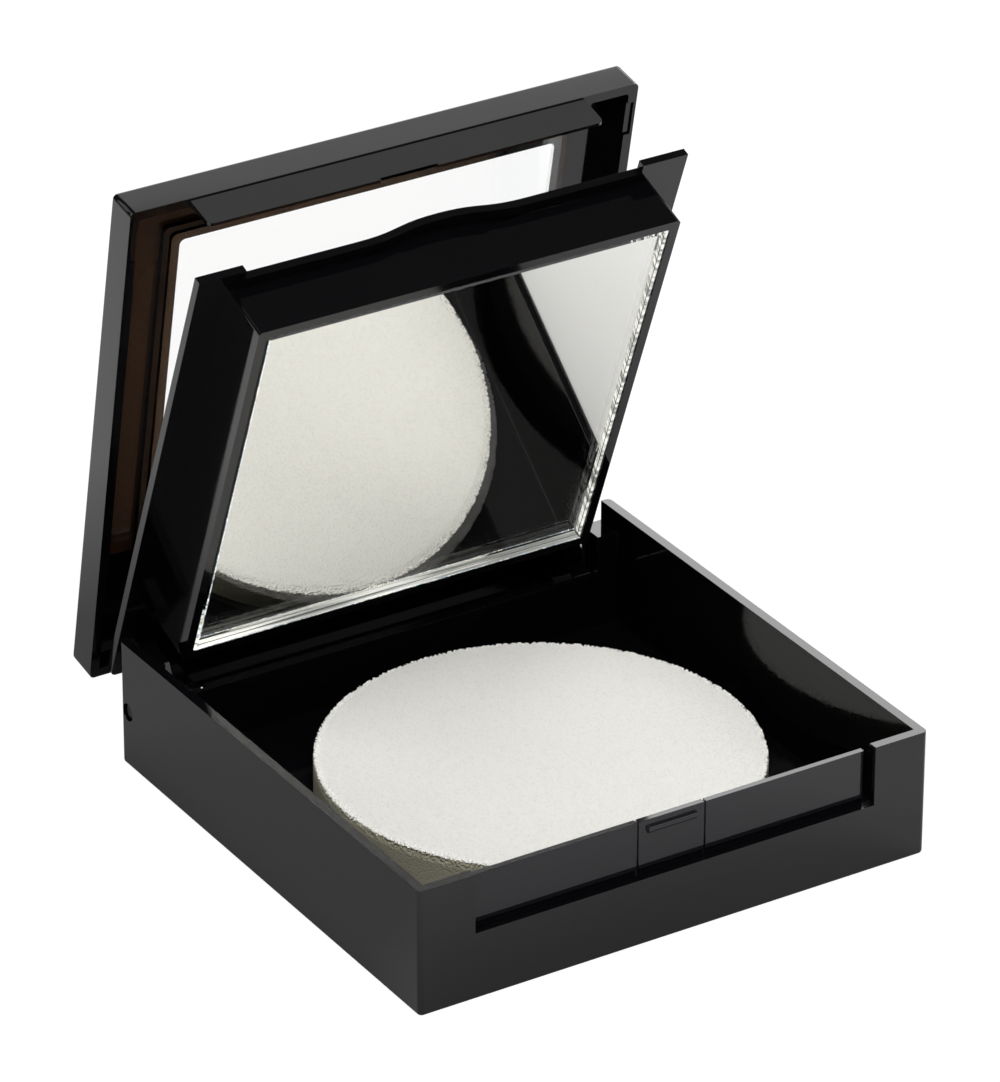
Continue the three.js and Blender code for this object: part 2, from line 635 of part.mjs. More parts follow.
compact.add(hinged(LID_OPEN, [
  mesh('lid_frame', lidFrame(), 'black'),
  mesh('lid_window', lidWindow(), 'clear'),
]));

export default compact;
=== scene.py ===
"""Powder compact: finishes for its mouldings, window, mirror, powder, sponge and hinge pins."""

import json
import math

import bmesh
import bpy
from bpy.props import FloatProperty, FloatVectorProperty, IntProperty, PointerProperty
from mathutils import Matrix, Vector


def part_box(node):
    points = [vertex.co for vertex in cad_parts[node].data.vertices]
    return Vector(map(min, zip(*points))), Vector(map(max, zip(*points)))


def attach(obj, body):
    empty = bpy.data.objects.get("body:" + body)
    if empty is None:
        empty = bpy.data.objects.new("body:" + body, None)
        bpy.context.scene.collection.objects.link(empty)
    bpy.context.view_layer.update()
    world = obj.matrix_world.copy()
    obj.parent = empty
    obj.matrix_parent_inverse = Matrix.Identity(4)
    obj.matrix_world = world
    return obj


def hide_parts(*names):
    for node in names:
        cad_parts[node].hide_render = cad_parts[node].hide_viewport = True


bl_info = {
    "name": "Powder Compact",
    "version": (1, 0, 0),
    "blender": (4, 5, 0),
    "location": "3D View > Sidebar > Compact",
    "description": "Builds the finished pieces of a hinged powder compact round its fixed frame",
    "category": "Object",
}

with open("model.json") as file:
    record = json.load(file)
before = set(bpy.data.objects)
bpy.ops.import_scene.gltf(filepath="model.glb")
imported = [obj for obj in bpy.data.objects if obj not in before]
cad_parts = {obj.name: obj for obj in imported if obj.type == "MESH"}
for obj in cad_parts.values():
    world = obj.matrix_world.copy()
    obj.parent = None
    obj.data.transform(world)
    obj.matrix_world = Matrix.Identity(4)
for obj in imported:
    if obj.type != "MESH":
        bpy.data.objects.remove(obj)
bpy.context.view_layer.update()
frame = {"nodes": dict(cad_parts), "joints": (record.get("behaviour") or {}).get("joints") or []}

MM = 0.001
SHARP = math.radians(28)   # edges that turn more than this are moulded edges

# The open angles of the tray and the lid at rest, from the closed case.
TRAY_OPEN = math.radians(69.3)
LID_OPEN = math.radians(79.0)
PIN = Vector(frame["joints"][0]["pos_m"])


# ---------------------------------------------------------------- places
def opened(angle):
    """The turn about the hinge pins that takes the closed case to its open place."""
    return Matrix.Translation(PIN) @ Matrix.Rotation(-angle, 4, "X") @ Matrix.Translation(-PIN)


def closed_box(node, angle):
    """Lowest and highest corner of a node with the case shut."""
    shut = opened(angle).inverted()
    points = [shut @ v.co for v in frame["nodes"][node].data.vertices]
    low = Vector(min(p[i] for p in points) for i in range(3))
    high = Vector(max(p[i] for p in points) for i in range(3))
    return low, high


# ---------------------------------------------------------------- meshes
def linked(name, mesh):
    """A mesh as a piece in the scene."""
    piece = bpy.data.objects.new(name, mesh)
    bpy.context.scene.collection.objects.link(piece)
    return piece


def object_from(name, vertices, faces, edges=()):
    """A new piece from its corners and its faces or loose edges."""
    mesh = bpy.data.meshes.new(name)
    mesh.from_pydata(vertices, edges, faces)
    mesh.update()
    return linked(name, mesh)


def merged_copy(node, name):
    """The node's shape as a clean mesh: merged corners, and one face for each flat."""
    source = frame["nodes"][node].data
    bm = bmesh.new()
    for v in source.vertices:
        bm.verts.new(v.co)
    bm.verts.ensure_lookup_table()
    for polygon in source.polygons:
        bm.faces.new([bm.verts[i] for i in polygon.vertices])
    bmesh.ops.remove_doubles(bm, verts=bm.verts, dist=0.002 * MM)
    bmesh.ops.dissolve_limit(bm, angle_limit=math.radians(0.4), verts=bm.verts, edges=bm.edges)
    mesh = bpy.data.meshes.new(name)
    bm.to_mesh(mesh)
    bm.free()
    return linked(name, mesh)


def round_edges(piece, width, segments=3):
    """A small moulded radius on every sharp edge, with flat faces left flat."""
    mesh = piece.data
    mesh.polygons.foreach_set("use_smooth", [True] * len(mesh.polygons))
    mesh.set_sharp_from_angle(angle=SHARP)
    bevel = piece.modifiers.new("Edge radius", "BEVEL")
    bevel.width = width
    bevel.segments = segments
    bevel.limit_method = "ANGLE"
    bevel.angle_limit = SHARP
    bevel.use_clamp_overlap = True
    bevel.miter_outer = "MITER_ARC"
    normals = piece.modifiers.new("Flat faces", "WEIGHTED_NORMAL")
    normals.keep_sharp = True
    return piece


def plain_mesh(piece):
    """The evaluated shape as a plain mesh, with the modifiers gone."""
    graph = bpy.context.evaluated_depsgraph_get()
    baked = bpy.data.meshes.new_from_object(piece.evaluated_get(graph))
    piece.modifiers.clear()
    piece.data = baked
    return piece


def recalculated(piece):
    bm = bmesh.new()
    bm.from_mesh(piece.data)
    bmesh.ops.recalc_face_normals(bm, faces=bm.faces)
    bm.to_mesh(piece.data)
    bm.free()
    return piece


# ---------------------------------------------------------------- node trees
def shader_group(name, inputs, outputs):
    """A new shader group with float inputs and the given outputs, and its two end nodes."""
    group = bpy.data.node_groups.new(name, "ShaderNodeTree")
    for label, default in inputs:
        socket = group.interface.new_socket(label, in_out="INPUT", socket_type="NodeSocketFloat")
        socket.default_value = default
    for label, kind in outputs:
        group.interface.new_socket(label, in_out="OUTPUT", socket_type=kind)
    return group, group.nodes.new("NodeGroupInput"), group.nodes.new("NodeGroupOutput")


def spread_over(nodes, link, value, low, high, to_low=0.0, to_high=1.0):
    """A value between low and high, spread over to_low to to_high and held at its ends."""
    spread = nodes.new("ShaderNodeMapRange")
    spread.inputs["From Min"].default_value = low
    spread.inputs["From Max"].default_value = high
    spread.inputs["To Min"].default_value = to_low
    spread.inputs["To Max"].default_value = to_high
    link(value, spread.inputs["Value"])
    return spread


def mixed_colors(nodes, link, factor, dark, light):
    """A colour that runs from dark to light with a mask."""
    mix = nodes.new("ShaderNodeMix")
    mix.data_type = "RGBA"
    mix.inputs[6].default_value = (*dark, 1.0)
    mix.inputs[7].default_value = (*light, 1.0)
    link(factor, mix.inputs[0])
    return mix.outputs[2]


def moulded_skin_group():
    """Slow change of gloss over a moulding, with the faint waviness that its reflections show."""
    group, given, out = shader_group(
        "Moulded skin",
        [("Patch Scale", 60.0), ("Ripple Scale", 700.0), ("Gloss Low", 0.05), ("Gloss High", 0.1)],
        [("Roughness", "NodeSocketFloat"), ("Height", "NodeSocketFloat")],
    )
    nodes, link = group.nodes, group.links.new
    place = nodes.new("ShaderNodeTexCoord")
    patches = nodes.new("ShaderNodeTexNoise")
    patches.inputs["Detail"].default_value = 3.0
    link(place.outputs["Object"], patches.inputs["Vector"])
    link(given.outputs["Patch Scale"], patches.inputs["Scale"])
    spread = spread_over(nodes, link, patches.outputs["Fac"], 0.3, 0.7)
    link(given.outputs["Gloss Low"], spread.inputs["To Min"])
    link(given.outputs["Gloss High"], spread.inputs["To Max"])
    ripple = nodes.new("ShaderNodeTexNoise")
    ripple.inputs["Detail"].default_value = 1.0
    link(place.outputs["Object"], ripple.inputs["Vector"])
    link(given.outputs["Ripple Scale"], ripple.inputs["Scale"])
    link(spread.outputs["Result"], out.inputs["Roughness"])
    link(ripple.outputs["Fac"], out.inputs["Height"])
    return group


def open_pores_group():
    """Small round pores of mixed size."""
    group, given, out = shader_group(
        "Open pores",
        [("Pore Scale", 2600.0), ("Mottle Scale", 500.0)],
        [("Pores", "NodeSocketFloat"), ("Mottle", "NodeSocketFloat")],
    )
    nodes, link = group.nodes, group.links.new
    place = nodes.new("ShaderNodeTexCoord")
    cells = nodes.new("ShaderNodeTexVoronoi")
    link(place.outputs["Object"], cells.inputs["Vector"])
    link(given.outputs["Pore Scale"], cells.inputs["Scale"])
    rim = spread_over(nodes, link, cells.outputs["Distance"], 0.1, 0.5)
    rim.interpolation_type = "SMOOTHSTEP"
    mottle = nodes.new("ShaderNodeTexNoise")
    mottle.inputs["Detail"].default_value = 4.0
    link(place.outputs["Object"], mottle.inputs["Vector"])
    link(given.outputs["Mottle Scale"], mottle.inputs["Scale"])
    link(rim.outputs["Result"], out.inputs["Pores"])
    link(mottle.outputs["Fac"], out.inputs["Mottle"])
    return group


def bare_material(name, color, roughness, metallic=0.0):
    material = bpy.data.materials.new(name)
    material.use_nodes = True
    shader = material.node_tree.nodes["Principled BSDF"]
    shader.inputs["Base Color"].default_value = (*color, 1.0)
    shader.inputs["Roughness"].default_value = roughness
    shader.inputs["Metallic"].default_value = metallic
    return material, shader


def place_group(material, group, values):
    node = material.node_tree.nodes.new("ShaderNodeGroup")
    node.node_tree = group
    for label, value in values.items():
        node.inputs[label].default_value = value
    return node


def add_bump(material, shader, height, strength, distance):
    bump = material.node_tree.nodes.new("ShaderNodeBump")
    bump.inputs["Strength"].default_value = strength
    bump.inputs["Distance"].default_value = distance
    material.node_tree.links.new(height, bump.inputs["Height"])
    material.node_tree.links.new(bump.outputs["Normal"], shader.inputs["Normal"])


def two_tone(material, shader, factor, dark, light):
    """Base colour that runs from dark to light with a mask."""
    nodes, link = material.node_tree.nodes, material.node_tree.links.new
    link(mixed_colors(nodes, link, factor, dark, light), shader.inputs["Base Color"])


def skin_gloss(material, shader, group, low, high):
    """Roughness from the moulded skin, between low and high."""
    skin = place_group(material, group, {"Gloss Low": low, "Gloss High": high})
    material.node_tree.links.new(skin.outputs["Roughness"], shader.inputs["Roughness"])
    return skin


# ---------------------------------------------------------------- finishes
def gloss_plastic(name, color, group, shine=0.5):
    material, shader = bare_material(name, color, 0.07)
    shader.inputs["Specular IOR Level"].default_value = shine
    skin = skin_gloss(material, shader, group, 0.04, 0.09)
    add_bump(material, shader, skin.outputs["Height"], 0.05, 0.01 * MM)
    return material


def clear_plastic(name, color, group):
    material, shader = bare_material(name, color, 0.02)
    shader.inputs["Transmission Weight"].default_value = 1.0
    shader.inputs["IOR"].default_value = 1.49
    skin_gloss(material, shader, group, 0.0, 0.02)
    return material


def foam_material(name, color, group):
    material, shader = bare_material(name, color, 0.95)
    shader.inputs["Specular IOR Level"].default_value = 0.15
    pores = place_group(material, group, {"Pore Scale": 3000.0, "Mottle Scale": 1500.0})
    links = material.node_tree.links
    # Darker pore centres are painted shade in the pores; the mottle is the foam's own uneven tone.
    pore_shade_and_mottle = material.node_tree.nodes.new("ShaderNodeMath")
    pore_shade_and_mottle.operation = "MULTIPLY_ADD"
    pore_shade_and_mottle.inputs[1].default_value = 0.55
    links.new(pores.outputs["Pores"], pore_shade_and_mottle.inputs[0])
    links.new(pores.outputs["Mottle"], pore_shade_and_mottle.inputs[2])
    dark = tuple(c * 0.84 for c in color)
    two_tone(material, shader, pore_shade_and_mottle.outputs[0], dark, color)
    add_bump(material, shader, pores.outputs["Pores"], 0.8, 0.06 * MM)
    return material


def powder_material(color, group):
    material, shader = bare_material("Pressed powder", color, 1.0)
    shader.inputs["Specular IOR Level"].default_value = 0.1
    grain = place_group(material, group, {"Pore Scale": 6000.0, "Mottle Scale": 900.0})
    dark = tuple(c * 0.85 for c in color)
    two_tone(material, shader, grain.outputs["Mottle"], dark, color)
    add_bump(material, shader, grain.outputs["Pores"], 0.25, 0.03 * MM)
    return material


def satin_metal(name, color, roughness, group):
    material, shader = bare_material(name, color, roughness, 1.0)
    skin = skin_gloss(material, shader, group, roughness * 0.8, roughness * 1.25)
    add_bump(material, shader, skin.outputs["Height"], 0.15, 0.01 * MM)
    return material


def glass_material():
    material, shader = bare_material("Mirror glass", (1.0, 0.995, 0.96), 0.0)
    shader.inputs["Transmission Weight"].default_value = 1.0
    shader.inputs["IOR"].default_value = 1.52
    return material


def ground_wall_glow_material():
    """The glass's ground side walls: a painted glow as if lit from within, with fine dark lines."""
    material, shader = bare_material("Ground glass wall painted glow", (0.8, 0.82, 0.8), 0.35)
    nodes, link = material.node_tree.nodes, material.node_tree.links.new
    place = nodes.new("ShaderNodeTexCoord")
    turn = nodes.new("ShaderNodeMapping")
    turn.inputs["Rotation"].default_value = (TRAY_OPEN, 0.0, 0.0)
    turn.inputs["Scale"].default_value = (40.0, 40.0, 1900.0)
    link(place.outputs["Object"], turn.inputs["Vector"])
    lines = nodes.new("ShaderNodeTexNoise")
    lines.inputs["Scale"].default_value = 1.0
    lines.inputs["Detail"].default_value = 2.0
    link(turn.outputs["Vector"], lines.inputs["Vector"])
    spread = spread_over(nodes, link, lines.outputs["Fac"], 0.42, 0.56)
    # Painted glow: emission streaks that stand in for light caught in the ground walls.
    painted_glow_streaks = mixed_colors(nodes, link, spread.outputs["Result"], (0.02,) * 3, (0.84, 0.84, 0.8))
    link(painted_glow_streaks, shader.inputs["Emission Color"])
    shader.inputs["Emission Strength"].default_value = 1.0
    return material


def silver_material(group):
    material, shader = bare_material("Silvering", (0.97, 0.97, 0.96), 0.01, 1.0)
    skin_gloss(material, shader, group, 0.0, 0.012)
    return material


def chip_glint_material():
    """Chips with painted glints that glow white, blue or amber, or stay dark."""
    material, shader = bare_material("Ground glass", (0.9, 0.92, 0.94), 0.15)
    nodes, link = material.node_tree.nodes, material.node_tree.links.new
    place = nodes.new("ShaderNodeTexCoord")
    painted_glints = nodes.new("ShaderNodeTexNoise")
    painted_glints.inputs["Scale"].default_value = 2200.0
    link(place.outputs["Object"], painted_glints.inputs["Vector"])
    painted_glint_tints = nodes.new("ShaderNodeValToRGB")
    ramp = painted_glint_tints.color_ramp
    ramp.elements[0].position, ramp.elements[0].color = 0.35, (0.01, 0.01, 0.01, 1.0)
    ramp.elements[1].position, ramp.elements[1].color = 0.64, (1.0, 0.82, 0.55, 1.0)
    ramp.elements.new(0.45).color = (0.35, 0.6, 0.75, 1.0)
    ramp.elements.new(0.54).color = (1.0, 1.0, 1.0, 1.0)
    link(painted_glints.outputs["Fac"], painted_glint_tints.inputs["Fac"])
    # Painted glints: the chips' emission stands in for light caught on the ground edge.
    link(painted_glint_tints.outputs["Color"], shader.inputs["Emission Color"])
    shader.inputs["Emission Strength"].default_value = 0.9
    return material


# ---------------------------------------------------------------- geometry trees
def geometry_tree(name, inputs):
    """A geometry tree that takes a shape and the named sizes, and gives a shape back."""
    tree = bpy.data.node_groups.new(name, "GeometryNodeTree")
    tree.interface.new_socket("Geometry", in_out="INPUT", socket_type="NodeSocketGeometry")
    for label, kind, default in inputs:
        socket = tree.interface.new_socket(label, in_out="INPUT", socket_type=kind)
        if default is not None:
            socket.default_value = default
    tree.interface.new_socket("Geometry", in_out="OUTPUT", socket_type="NodeSocketGeometry")
    return tree, tree.nodes.new("NodeGroupInput"), tree.nodes.new("NodeGroupOutput")


def close_tree(tree, given, out, shape):
    """Ends a tree with real geometry in the chosen material."""
    realize = tree.nodes.new("GeometryNodeRealizeInstances")
    paint = tree.nodes.new("GeometryNodeSetMaterial")
    tree.links.new(shape, realize.inputs["Geometry"])
    tree.links.new(realize.outputs["Geometry"], paint.inputs["Geometry"])
    tree.links.new(given.outputs["Material"], paint.inputs["Material"])
    tree.links.new(paint.outputs["Geometry"], out.inputs["Geometry"])


def run_tree(piece, tree, values):
    """Puts a tree on a piece with the given inputs, and keeps the result as a plain mesh."""
    modifier = piece.modifiers.new(tree.name, "NODES")
    modifier.node_group = tree
    ids = {s.name: s.identifier for s in tree.interface.items_tree if s.in_out == "INPUT"}
    for label, value in values.items():
        modifier[ids[label]] = value
    return plain_mesh(piece)


def math_node(tree, operation, a, b=None):
    node = tree.nodes.new("ShaderNodeMath")
    node.operation = operation
    for socket, value in zip(node.inputs, (a, b)):
        if value is None:
            continue
        if isinstance(value, (int, float)):
            socket.default_value = value
        else:
            tree.links.new(value, socket)
    return node.outputs[0]


def pore_tree():
    """Sinks pores into a round foam pad along its normals, deepest in its torn top rim."""
    tree, given, out = geometry_tree("Foam pores", [
        ("Pore Scale", "NodeSocketFloat", 3200.0),
        ("Pore Depth", "NodeSocketFloat", 0.0002),
        ("Face Share", "NodeSocketFloat", 0.0),
        ("Top Centre", "NodeSocketVector", None),
        ("Radius", "NodeSocketFloat", 0.028),
        ("Rim", "NodeSocketFloat", 0.0012),
        ("Seed", "NodeSocketFloat", 4.0),
        ("Material", "NodeSocketMaterial", None),
    ])
    link = tree.links.new
    noise = tree.nodes.new("ShaderNodeTexNoise")
    noise.noise_dimensions = "4D"
    noise.inputs["Detail"].default_value = 3.0
    link(given.outputs["Seed"], noise.inputs["W"])
    link(given.outputs["Pore Scale"], noise.inputs["Scale"])
    pit = spread_over(tree.nodes, link, noise.outputs["Fac"], 0.42, 0.62)

    place = tree.nodes.new("GeometryNodeInputPosition")
    away = tree.nodes.new("ShaderNodeVectorMath")
    away.operation = "SUBTRACT"
    link(place.outputs["Position"], away.inputs[0])
    link(given.outputs["Top Centre"], away.inputs[1])
    flat = tree.nodes.new("ShaderNodeVectorMath")
    flat.operation = "MULTIPLY"
    flat.inputs[1].default_value = (1.0, 1.0, 0.0)
    link(away.outputs["Vector"], flat.inputs[0])
    reach = tree.nodes.new("ShaderNodeVectorMath")
    reach.operation = "LENGTH"
    link(flat.outputs["Vector"], reach.inputs[0])
    below = tree.nodes.new("ShaderNodeSeparateXYZ")
    link(away.outputs["Vector"], below.inputs["Vector"])
    from_rim = tree.nodes.new("ShaderNodeCombineXYZ")
    inside = math_node(tree, "SUBTRACT", given.outputs["Radius"], reach.outputs["Value"])
    link(inside, from_rim.inputs["X"])
    link(below.outputs["Z"], from_rim.inputs["Y"])
    distance = tree.nodes.new("ShaderNodeVectorMath")
    distance.operation = "LENGTH"
    link(from_rim.outputs["Vector"], distance.inputs[0])
    rim = spread_over(tree.nodes, link, distance.outputs["Value"], 0.0, 1.0, to_low=1.0)
    link(given.outputs["Rim"], rim.inputs["From Max"])
    link(given.outputs["Face Share"], rim.inputs["To Max"])

    share = math_node(tree, "MULTIPLY", pit.outputs["Result"], rim.outputs["Result"])
    depth = math_node(tree, "MULTIPLY", share, given.outputs["Pore Depth"])
    normal = tree.nodes.new("GeometryNodeInputNormal")
    offset = tree.nodes.new("ShaderNodeVectorMath")
    offset.operation = "SCALE"
    link(normal.outputs["Normal"], offset.inputs[0])
    link(math_node(tree, "MULTIPLY", depth, -1.0), offset.inputs["Scale"])
    move = tree.nodes.new("GeometryNodeSetPosition")
    link(given.outputs["Geometry"], move.inputs["Geometry"])
    link(offset.outputs["Vector"], move.inputs["Offset"])
    close_tree(tree, given, out, move.outputs["Geometry"])
    return tree


def emboss_tree():
    """Presses a fine woven pattern into the top of a cake of powder."""
    tree, given, out = geometry_tree("Powder emboss", [
        ("Pitch", "NodeSocketFloat", 0.0016),
        ("Depth", "NodeSocketFloat", 0.00012),
        ("Top", "NodeSocketFloat", 0.0),
        ("Material", "NodeSocketMaterial", None),
    ])
    link = tree.links.new
    place = tree.nodes.new("GeometryNodeInputPosition")
    split = tree.nodes.new("ShaderNodeSeparateXYZ")
    link(place.outputs["Position"], split.inputs["Vector"])
    turns = math_node(tree, "DIVIDE", math.tau, given.outputs["Pitch"])
    across = math_node(tree, "SINE", math_node(tree, "MULTIPLY", split.outputs["X"], turns))
    along = math_node(tree, "SINE", math_node(tree, "MULTIPLY", split.outputs["Y"], turns))
    weave = math_node(tree, "MULTIPLY", across, along)
    sunk = math_node(tree, "MULTIPLY", math_node(tree, "SUBTRACT", weave, 1.0), given.outputs["Depth"])
    on_top = math_node(tree, "COMPARE", split.outputs["Z"], given.outputs["Top"])
    on_top.node.inputs[2].default_value = 0.01 * MM
    offset = tree.nodes.new("ShaderNodeCombineXYZ")
    link(math_node(tree, "MULTIPLY", sunk, on_top), offset.inputs["Z"])
    move = tree.nodes.new("GeometryNodeSetPosition")
    link(given.outputs["Geometry"], move.inputs["Geometry"])
    link(offset.outputs["Vector"], move.inputs["Offset"])
    close_tree(tree, given, out, move.outputs["Geometry"])
    return tree


def chip_tree():
    """Scatters tiny ground chips along an edge line."""
    tree, given, out = geometry_tree("Ground edge", [
        ("Spacing", "NodeSocketFloat", 0.00034),
        ("Chip", "NodeSocketFloat", 0.00016),
        ("Seed", "NodeSocketInt", 7),
        ("Material", "NodeSocketMaterial", None),
    ])
    link = tree.links.new
    curve = tree.nodes.new("GeometryNodeMeshToCurve")
    link(given.outputs["Geometry"], curve.inputs["Mesh"])
    points = tree.nodes.new("GeometryNodeCurveToPoints")
    points.mode = "LENGTH"
    link(curve.outputs["Curve"], points.inputs["Curve"])
    link(given.outputs["Spacing"], points.inputs["Length"])
    chip = tree.nodes.new("GeometryNodeMeshIcoSphere")
    chip.inputs["Subdivisions"].default_value = 1
    link(given.outputs["Chip"], chip.inputs["Radius"])
    turn = tree.nodes.new("FunctionNodeRandomValue")
    turn.data_type = "FLOAT_VECTOR"
    turn.inputs["Max"].default_value = (math.tau,) * 3
    link(given.outputs["Seed"], turn.inputs["Seed"])
    size = tree.nodes.new("FunctionNodeRandomValue")
    size.data_type = "FLOAT_VECTOR"
    size.inputs["Min"].default_value = (0.25, 0.25, 0.25)
    size.inputs["Max"].default_value = (1.0, 1.0, 1.0)
    link(given.outputs["Seed"], size.inputs["Seed"])
    place = tree.nodes.new("GeometryNodeInstanceOnPoints")
    link(points.outputs["Points"], place.inputs["Points"])
    link(chip.outputs["Mesh"], place.inputs["Instance"])
    link(turn.outputs["Value"], place.inputs["Rotation"])
    link(size.outputs["Value"], place.inputs["Scale"])
    close_tree(tree, given, out, place.outputs["Instances"])
    return tree


# ---------------------------------------------------------------- settings
class CompactSizes(bpy.types.PropertyGroup):
    """Sizes that change the look of the edges and surfaces."""

    edge_radius: FloatProperty(
        name="Edge Radius", description="Moulded radius on the plastic's edges",
        default=0.00014, min=0.00002, max=0.0004, precision=5, unit="LENGTH",
    )
    pore_depth: FloatProperty(
        name="Pore Depth", description="Depth of the pores in the sponge",
        default=0.00048, min=0.0, max=0.001, precision=5, unit="LENGTH",
    )
    pore_spacing: FloatProperty(
        name="Pore Mesh", description="Distance between the sponge's mesh rings",
        default=0.0002, min=0.0001, max=0.001, precision=5, unit="LENGTH",
    )
    emboss_pitch: FloatProperty(
        name="Emboss Pitch", description="Pitch of the pattern pressed into the powder",
        default=0.0017, min=0.0005, max=0.005, precision=4, unit="LENGTH",
    )
    chip_seed: IntProperty(
        name="Chip Seed", description="Seed of the chips along the mirror's ground edge", default=7,
    )


class CompactColors(bpy.types.PropertyGroup):
    """Colours of the plastics, the foam and the powder."""

    plastic: FloatVectorProperty(
        name="Plastic", description="Gloss plastic of the case", subtype="COLOR",
        default=(0.0022, 0.0022, 0.0028), min=0.0, max=1.0,
    )
    # Painted reflection: the latch wall is coloured lighter than the case, to stand in for the brighter
    # floor it reflects.
    latch: FloatVectorProperty(
        name="Latch Wall Reflection", description="The same plastic in the thin latch wall, lighter as a painted reflection", subtype="COLOR",
        default=(0.0095, 0.0095, 0.0125), min=0.0, max=1.0,
    )
    # Painted backlight: a brown tone that stands in for light shining through the lid's thin panel.
    painted_backlight: FloatVectorProperty(
        name="Painted Backlight", description="Brown painted backlight where the lid's panel is thin",
        subtype="COLOR", default=(0.03, 0.016, 0.009), min=0.0, max=1.0,
    )
    foam: FloatVectorProperty(
        name="Foam", description="Latex foam of the sponge", subtype="COLOR",
        default=(0.9, 0.89, 0.85), min=0.0, max=1.0,
    )
    # Painted shade: a darker, yellower tone for the sponge's side, which lies in shade.
    foam_side_shade: FloatVectorProperty(
        name="Foam Side Shade", description="Painted shade on the sponge's side", subtype="COLOR",
        default=(0.36, 0.345, 0.26), min=0.0, max=1.0,
    )
    powder: FloatVectorProperty(
        name="Powder", description="Pressed powder", subtype="COLOR",
        default=(0.66, 0.42, 0.28), min=0.0, max=1.0,
    )


# ---------------------------------------------------------------- stage
CAMERA_AZIMUTH = math.radians(-32.127)
CAMERA_ELEVATION = math.radians(28.088)
CAMERA_ROLL = math.radians(0.222)
CAMERA_OFFSET = Vector((2.317, -33.124, 868.782)) * MM  # right, up and forward of the origin
CAMERA_LENS = 231.36

FLOOR_HALF = 3.0
FLOOR_HEIGHT = -0.05 * MM               # just clear of the base's underside
FLOOR_PALE = 0.9
FLOOR_SHADOW = 0.42                        # in a painted shadow, a darker patch of floor round the case
FLOOR_SHADOW_CENTRE = (-0.015, 0.03, 0.0)
FLOOR_SHADOW_NEAR = 0.055                  # the painted shadow is full inside this distance
FLOOR_SHADOW_FAR = 0.1                     # and pale beyond this one
FLOOR_WHITE_SHARE = 0.93                # the rest of the floor takes shadows
FLOOR_WHITE = 1.06
ROOM_LIGHT = 0.06                       # light that the room gives where it isn't seen directly
MIRRORED_WHITE = 0.15                   # how white the room and floor are in a mirror

LIGHT_CENTRE = Vector((0, 0, 30)) * MM
# Name, direction from the centre, distance, width and height, and radiance.
SOFTBOXES = (
    ("Back softbox", (0.47, 0.75, 0.5), 0.75, (0.7, 0.3), 3.7),
    ("Upper back softbox", (0.45, 0.56, 0.68), 0.75, (0.7, 0.09), 1.1),
    ("Back fall-off", (0.45, 0.56, 0.92), 0.75, (0.7, 0.08), 0.65),
    ("Key softbox", (-0.3, -0.4, 1.0), 0.8, (0.7, 0.6), 4.7),
    ("Left back softbox", (-0.6, 0.55, 0.57), 0.8, (0.25, 0.6), 1.0),
    ("Front softbox", (0.75, -0.75, 0.32), 1.0, (0.7, 0.3), 1.6),
)


def make_camera():
    az, el, roll = CAMERA_AZIMUTH, CAMERA_ELEVATION, CAMERA_ROLL
    level_right = Vector((math.cos(az), math.sin(az), 0))
    back = Vector((math.sin(az) * math.cos(el), -math.cos(az) * math.cos(el), math.sin(el)))
    level_up = back.cross(level_right)
    right = math.cos(roll) * level_right + math.sin(roll) * level_up
    up = math.cos(roll) * level_up - math.sin(roll) * level_right
    data = bpy.data.cameras.new("Camera")
    data.lens = CAMERA_LENS
    data.clip_start = 0.05
    data.clip_end = 20
    camera = bpy.data.objects.new("Camera", data)
    place = -(CAMERA_OFFSET.x * right + CAMERA_OFFSET.y * up - CAMERA_OFFSET.z * back)
    turn = Matrix((right, up, back)).transposed().to_4x4()
    camera.matrix_world = Matrix.Translation(place) @ turn
    bpy.context.scene.collection.objects.link(camera)
    bpy.context.scene.camera = camera


def make_softbox(name, direction, distance, size, radiance):
    """An area light of a given brightness, seen in reflections and not by the camera."""
    data = bpy.data.lights.new(name, "AREA")
    data.shape = "RECTANGLE"
    data.size, data.size_y = size
    data.energy = radiance * math.pi * size[0] * size[1]
    light = bpy.data.objects.new(name, data)
    aim = Vector(direction).normalized()
    turn = aim.to_track_quat("Z", "Y").to_matrix().to_4x4()
    light.matrix_world = Matrix.Translation(LIGHT_CENTRE + aim * distance) @ turn
    light.visible_camera = False
    bpy.context.scene.collection.objects.link(light)


def seen_directly(nodes, link):
    """1 for what is seen straight or through glass, less in a true mirror, and 0 in soft gloss."""
    path = nodes.new("ShaderNodeLightPath")
    total = path.outputs["Is Camera Ray"]
    for ray in ("Is Transmission Ray", "Is Singular Ray"):
        either = nodes.new("ShaderNodeMath")
        either.operation = "MAXIMUM"
        link(total, either.inputs[0])
        link(path.outputs[ray], either.inputs[1])
        total = either.outputs[0]
    mirrored = spread_over(nodes, link, path.outputs["Glossy Depth"], 0.0, 1.0, 1.0, MIRRORED_WHITE)
    share = nodes.new("ShaderNodeMath")
    share.operation = "MULTIPLY"
    link(total, share.inputs[0])
    link(mirrored.outputs["Result"], share.inputs[1])
    return share.outputs[0]


